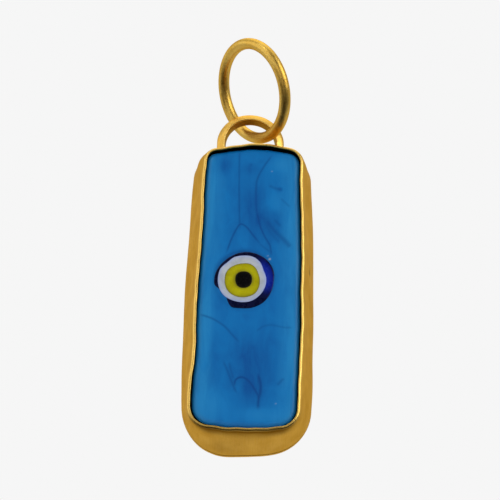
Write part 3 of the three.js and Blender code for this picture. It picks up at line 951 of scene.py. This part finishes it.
build_dot(
    "eye_pupil_pressed",
    "eye_pupil_dot",
    centre=PUPIL,
    radii=[0.84, 0.86, 0.88, 0.86, 0.83, 0.85, 0.88, 0.86, 0.83, 0.85, 0.89, 0.88, 0.87, 0.87, 0.88, 0.86],
    face=0.205,
    thick=0.3,
    crown=0.012,
    material=black_glass,
)


# ---- Jump ring ----


def ring_place():
    """The ring's centre and axis, from the CAD node's own points."""
    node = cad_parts["jump_ring"]
    points = np.array([v.co for v in node.data.vertices]) / MM
    lo, hi = (np.array(c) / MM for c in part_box("jump_ring"))
    centre = (lo + hi) / 2
    axis = np.linalg.eigh(np.cov((points - centre).T))[1][:, 0]
    return centre, axis * np.sign(axis[0])


def build_ring():
    centre, axis = ring_place()
    level = np.cross((0, 0, 1), axis)
    level /= np.linalg.norm(level)
    up = np.cross(axis, level)
    around, across = 240, 36
    verts = []
    for i in range(around):
        a = 2 * math.pi * i / around
        out = math.cos(a) * level + math.sin(a) * up
        big = RING_R + 0.02 * math.sin(2 * a + 0.5) + 0.012 * math.sin(3 * a + 2.0)
        shift = 0.02 * math.sin(2 * a + 1.2)
        joint = math.exp(-(((a - math.radians(RING_JOINT_ANGLE)) / RING_JOINT_WIDTH) ** 2))
        wire = RING_WIRE_R * (1 + 0.006 * math.sin(5 * a + 0.7) - RING_JOINT_DEPTH * joint)
        for j in range(across):
            b = 2 * math.pi * j / across
            radial, sideways = big + wire * math.cos(b), shift + wire * math.sin(b)
            verts.append(centre + out * radial + axis * sideways)
    faces = tube_faces(around, across, close_rows=True)
    return new_object(
        "jump_ring_drawn", verts, faces, ring_gold, body="ring", replaces="jump_ring"
    )


build_ring()


# ---- Bail and its solder ----

bail_lo, bail_hi = (np.array(c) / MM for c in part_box("bail_loop"))
BAIL_R = (bail_hi[0] - bail_lo[0]) / 2
BAIL_CENTRE = np.array([(bail_lo[0] + bail_hi[0]) / 2, (bail_lo[1] + bail_hi[1]) / 2, bail_hi[2] - BAIL_R])
BAIL_HOLE_R = BAIL_R - BAIL_THICK


def bail_section():
    """Half-round wire section with softened edges, flat side inwards: (radial, sideways, crease)."""
    half, rim = BAIL_WIDE / 2, BAIL_RIM
    points = []
    for t in np.linspace(-1, 1, BAIL_FLAT_STEPS):
        points.append((0.02 * (1 - t * t), t * (half - rim), 0.0))
    for a in np.radians(np.linspace(-70, 20, 5)):
        points.append((rim * (1 + math.sin(a)), half - rim + rim * math.cos(a), 1.0))
    for t in np.sin(np.radians(np.linspace(78, -78, BAIL_DOME_STEPS))):
        points.append((rim + (BAIL_THICK - rim) * (1 - abs(t) ** 2.1), half * t, 0.0))
    for a in np.radians(np.linspace(20, -70, 5)):
        points.append((rim * (1 + math.sin(a)), -(half - rim) - rim * math.cos(a), 1.0))
    leaned = []
    for radial, side, crease in points:
        lean = BAIL_LEAN * (1 - side / half)
        leaned.append((radial + lean * (1 - radial / BAIL_THICK), side, crease))
    return leaned


def build_bail():
    section = bail_section()
    drop = BAIL_CENTRE[2] - bail_lo[2]
    stations = [(math.pi, d) for d in np.linspace(drop, BAIL_LEG_TOP, 7)]
    stations += [(math.pi * (1 - i / BAIL_ARCH_STEPS), 0.0) for i in range(BAIL_ARCH_STEPS + 1)]
    stations += [(0.0, d) for d in np.linspace(BAIL_LEG_TOP, drop, 7)]
    # The softened edges are polished and painted a paler gold as a highlight.
    verts, polish_and_highlight = [], []
    for angle, down in stations:
        swell = 0.015 * math.sin(3 * angle + 0.6) + 0.01 * math.sin(7 * angle)
        sway = 0.02 * math.sin(2 * angle + 0.4)
        for radial, side, crease in section:
            r = BAIL_HOLE_R + radial * (1 + swell)
            along = np.array([r * math.cos(angle), side + sway, r * math.sin(angle) - down])
            verts.append(BAIL_CENTRE + along)
            polish_and_highlight.append(crease)
    # Painted shade darkens the flat inner side.
    stain_and_shade = [BAIL_FLAT_SHADE if i < BAIL_FLAT_STEPS else 0.0 for i in range(len(section))]
    return new_object(
        "bail_loop_bent",
        verts,
        capped_faces(len(stations), len(section)),
        bail_gold,
        replaces="bail_loop",
        attributes={"polish_and_highlight": polish_and_highlight, "stain_and_shade": np.tile(stain_and_shade, len(stations))},
    )


build_bail()


def top_edge(x, depth):
    """Height of the cup's top wall above the middle of the opening."""
    points = outline(depth, 0)
    upper = points[points[:, 1] > OPENING_H / 2 - 1]
    order = np.argsort(upper[:, 0])
    return np.interp(x, upper[order, 0], upper[order, 1])


BEAD_HEIGHTS = (-0.25, 0.0, 0.06, 0.14, 0.25, 0.38, 0.52, 0.68, 0.84, 1.0)  # shares of a bead's height
BEAD_SINK = 0.03  # how far a bead's middle stays inside the wire


def boxed(values):
    """Cosines or sines drawn towards a rounded box."""
    return np.sign(values) * np.abs(values) ** 0.75


def build_bead(name, node, sign, reach, height):
    """A fillet of solder that runs up from the wall onto one leg of the bail."""
    leg_x = BAIL_CENTRE[0] - CUP[0] + sign * (BAIL_HOLE_R + BAIL_THICK / 2)
    leg_y = BAIL_CENTRE[1] - CUP[1]
    angles = np.linspace(0, 2 * math.pi, 64, endpoint=False)
    half_x, half_y = BAIL_THICK / 2 - BEAD_SINK, BAIL_WIDE / 2 - BEAD_SINK
    wander = 1 + 0.1 * np.sin(2 * angles + sign) + 0.06 * np.sin(3 * angles + 2 * sign)
    level = top_edge(leg_x, leg_y)
    rows = []
    for t in BEAD_HEIGHTS:
        rise = max(t, 0)
        run = reach * (1 - rise) ** 2.2 * wander
        x = leg_x + boxed(np.cos(angles)) * (half_x + run)
        y = leg_y + boxed(np.sin(angles)) * (half_y + run)
        ground = np.array([top_edge(a, b) for a, b in zip(x, y)])
        rows.append(at_cup(x, y, (1 - rise) * ground + rise * level + height * t))
    faces = capped_faces(len(rows), len(angles))
    return new_object(name, np.vstack(rows), faces, solder, replaces=node)


build_bead("bail_solder_left_run", "bail_solder_left", -1, 0.4, 0.5)
build_bead("bail_solder_right_run", "bail_solder_right", 1, 0.38, 0.46)


# ---- Hidden CAD pieces keep their shape and get their own finish ----

for node, material in (
    ("setting_bed", plain_material("cement", (0.4, 0.38, 0.35), (0.25, 0.23, 0.21), 2.0, 0.8)),
    ("back_seam_solder", solder),
):
    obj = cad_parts[node]
    obj.data.materials.clear()
    obj.data.materials.append(material)


# ---- Floor, light and camera ----


# The stage is laid out in metres.
FLOOR_HALF = 3.0
FLOOR_HEIGHT = -0.16
KEY_SPOT = (-0.22, -0.3, 0.3)
KEY_SIZE = 0.07
KEY_POWER = 0.24


def build_floor():
    mesh = bpy.data.meshes.new("floor")
    signs = ((-1, -1), (1, -1), (1, 1), (-1, 1))
    corners = [(x * FLOOR_HALF, y * FLOOR_HALF, FLOOR_HEIGHT) for x, y in signs]
    mesh.from_pydata(corners, [], [(0, 1, 2, 3)])
    obj = bpy.data.objects.new("floor", mesh)
    bpy.context.scene.collection.objects.link(obj)
    n = Nodes("floor_paper")
    coarse = n.noise((0.02, 0.02, 0.02), 3.0, 0.5)
    color = n.mix(n.spread(coarse, 0.3, 0.7), (0.75, 0.75, 0.75), (0.765, 0.765, 0.765))
    mesh.materials.append(n.finish(color, 0.8))
    obj.visible_glossy = False


def build_camera():
    data = bpy.data.cameras.new("camera")
    data.lens = CAMERA_LENS
    data.sensor_width = CAMERA_SENSOR
    data.clip_start, data.clip_end = 0.005, 20
    cam = bpy.data.objects.new("camera", data)
    bpy.context.scene.collection.objects.link(cam)
    elevation = math.radians(CAMERA_ELEVATION)
    back = Vector((0, -math.cos(elevation), math.sin(elevation)))
    right = Vector((1, 0, 0))
    up = back.cross(right)
    roll = math.radians(CAMERA_ROLL)
    turned_right = right * math.cos(roll) + up * math.sin(roll)
    turned_up = up * math.cos(roll) - right * math.sin(roll)
    aim = Vector(CUP + AIM) * MM
    spot = aim + back * CAMERA_DISTANCE * MM
    rows = [(turned_right[i], turned_up[i], back[i], spot[i]) for i in range(3)]
    cam.matrix_world = Matrix([*rows, (0, 0, 0, 1)])
    bpy.context.scene.camera = cam


def build_key():
    """A small soft light from the upper left in front, for the highlights."""
    data = bpy.data.lights.new("key", "AREA")
    data.shape = "DISK"
    data.size = KEY_SIZE
    data.energy = KEY_POWER
    obj = bpy.data.objects.new("key", data)
    bpy.context.scene.collection.objects.link(obj)
    obj.location = KEY_SPOT
    obj.visible_camera = False
    obj.rotation_mode = "QUATERNION"
    obj.rotation_quaternion = (Vector(CUP) * MM - Vector(KEY_SPOT)).to_track_quat("-Z", "Y")


BACKGROUND = (0.9216, 0.9216, 0.9216, 1.0)
ROOM_LEVEL = 0.1
DARK_SIDE = (-0.22, -0.5, -0.84)  # low in front, where the photographer stands
DARK_TINT = (1.0, 0.66, 0.3, 1.0)
WHITE = (1.0, 1.0, 1.0, 1.0)
# Soft light in the dim room in front: direction, where it starts and is full (cosines), and how bright.
SOFTBOXES = [
    ((-0.95, -0.24, 0.3), 0.84, 0.95, 1.2),
    ((-0.2, -0.97, -0.16), 0.9, 0.98, 0.7),
    ((-0.56, -0.83, 0.0), 0.88, 0.97, 0.6),
    ((0.74, -0.6, 0.32), 0.88, 0.96, 3.2),
    ((0.0, -0.05, 1.0), 0.78, 0.95, 1.3),
]


def build_world():
    """A studio seen by the object: a pale backdrop behind, a dim room with soft boxes in front and above,
    and a darker, warmer side low in front. The camera itself sees a plain pale background."""
    world = bpy.data.worlds.new("studio")
    bpy.context.scene.world = world
    world.use_nodes = True
    tree = world.node_tree
    tree.nodes.clear()
    link = tree.links.new

    def add(kind, **inputs):
        node = tree.nodes.new(kind)
        for key, value in inputs.items():
            node.inputs[key].default_value = value
        return node

    def step(value, lo, hi, to_lo, to_hi):
        node = tree.nodes.new("ShaderNodeMapRange")
        node.interpolation_type = "SMOOTHSTEP"
        for key, v in (("From Min", lo), ("From Max", hi), ("To Min", to_lo), ("To Max", to_hi)):
            node.inputs[key].default_value = v
        link(value, node.inputs["Value"])
        return node.outputs["Result"]

    def calc(operation, one, other):
        node = tree.nodes.new("ShaderNodeMath")
        node.operation = operation
        for value, socket in ((one, node.inputs[0]), (other, node.inputs[1])):
            if isinstance(value, float):
                socket.default_value = value
            else:
                link(value, socket)
        return node.outputs[0]

    def toward(direction):
        node = tree.nodes.new("ShaderNodeVectorMath")
        node.operation = "DOT_PRODUCT"
        link(coord.outputs["Generated"], node.inputs[0])
        node.inputs[1].default_value = Vector(direction).normalized()
        return node.outputs["Value"]

    coord = add("ShaderNodeTexCoord")
    split = add("ShaderNodeSeparateXYZ")
    link(coord.outputs["Generated"], split.inputs[0])
    backdrop = step(split.outputs["Y"], -0.1, 0.35, 0.0, 0.6)
    total = calc("MULTIPLY", backdrop, step(split.outputs["Z"], -0.9, 0.3, 1.25, 1.0))
    total = calc("ADD", total, ROOM_LEVEL)
    shade = step(toward(DARK_SIDE), 0.76, 0.95, 1.0, 0.2)
    for direction, lo, hi, level in SOFTBOXES:
        total = calc("ADD", total, step(toward(direction), lo, hi, 0.0, level))
    light = add("ShaderNodeBackground")
    link(calc("MULTIPLY", total, shade), light.inputs["Strength"])
    warmth = add("ShaderNodeMix")
    warmth.data_type = "RGBA"
    link(shade, warmth.inputs["Factor"])
    warmth.inputs[6].default_value = DARK_TINT
    warmth.inputs[7].default_value = WHITE
    link(warmth.outputs[2], light.inputs["Color"])
    plain = add("ShaderNodeBackground", Color=BACKGROUND, Strength=1.0)
    path = add("ShaderNodeLightPath")
    mixer = add("ShaderNodeMixShader")
    out = add("ShaderNodeOutputWorld")
    link(path.outputs["Is Camera Ray"], mixer.inputs[0])
    link(light.outputs[0], mixer.inputs[1])
    link(plain.outputs[0], mixer.inputs[2])
    link(mixer.outputs[0], out.inputs["Surface"])


build_floor()
build_camera()
build_world()
build_key()
bpy.context.scene.view_settings.view_transform = "Standard"
